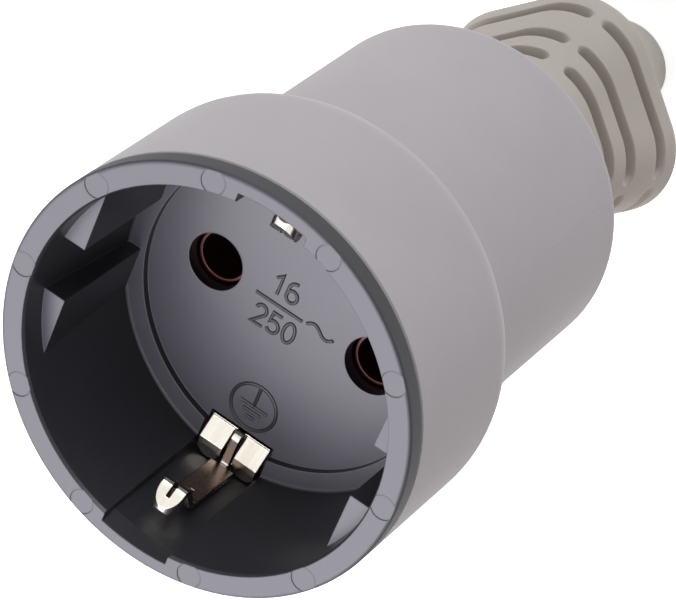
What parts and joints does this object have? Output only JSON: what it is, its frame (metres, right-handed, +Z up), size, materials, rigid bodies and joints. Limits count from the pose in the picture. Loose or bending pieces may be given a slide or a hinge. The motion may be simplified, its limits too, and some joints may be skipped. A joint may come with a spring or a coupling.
{
  "type": "inline socket connector",
  "caption": "inline earthed mains socket for a cord end: round plug recess with side earth clips and two pin holes, grey drum and body, slotted bend relief sleeve",
  "frame": {"origin": "on the surface that the connector stands on, on its axis, under the tip of the nose", "axes": "+Z up, from the cord end to the mouth of the plug recess, along the length; +X along the line of the two pin holes, to the right seen from the front; +Y to the back, along the line of the two earth clips"},
  "size_m": [0.0448, 0.0448, 0.0943],
  "materials": {
    "housing": "fine satin moulded grey",
    "sleeve": "matte warm grey rubber",
    "insert": "smooth dark grey thermoset",
    "block": "red moulding",
    "contact": "brass with a thin tin plating",
    "steel": "zinc plated steel",
    "screw": "plated screw",
    "earth_strip": "nickel plated bronze strip",
    "brass": "bare brass",
    "carrier": "dark grey moulding"
  },
  "bodies": {
    "root": {"housing": "housing", "bend_relief_sleeve": "sleeve", "socket_insert": "insert", "contact_block": "block", "line_contact_left": "contact", "line_contact_right": "contact", "contact_spring_left": "steel", "contact_spring_right": "steel", "terminal_screw_left": "screw", "terminal_screw_right": "screw", "earth_bracket": "earth_strip", "earth_terminal": "brass", "earth_screw": "screw", "block_screw_left": "steel", "block_screw_right": "steel", "cord_clamp_carrier": "carrier", "carrier_screw_left": "steel", "carrier_screw_right": "steel", "cord_clamp_saddle": "carrier", "clamp_screw_left": "steel", "clamp_screw_right": "steel"}
  },
  "joints": []
}
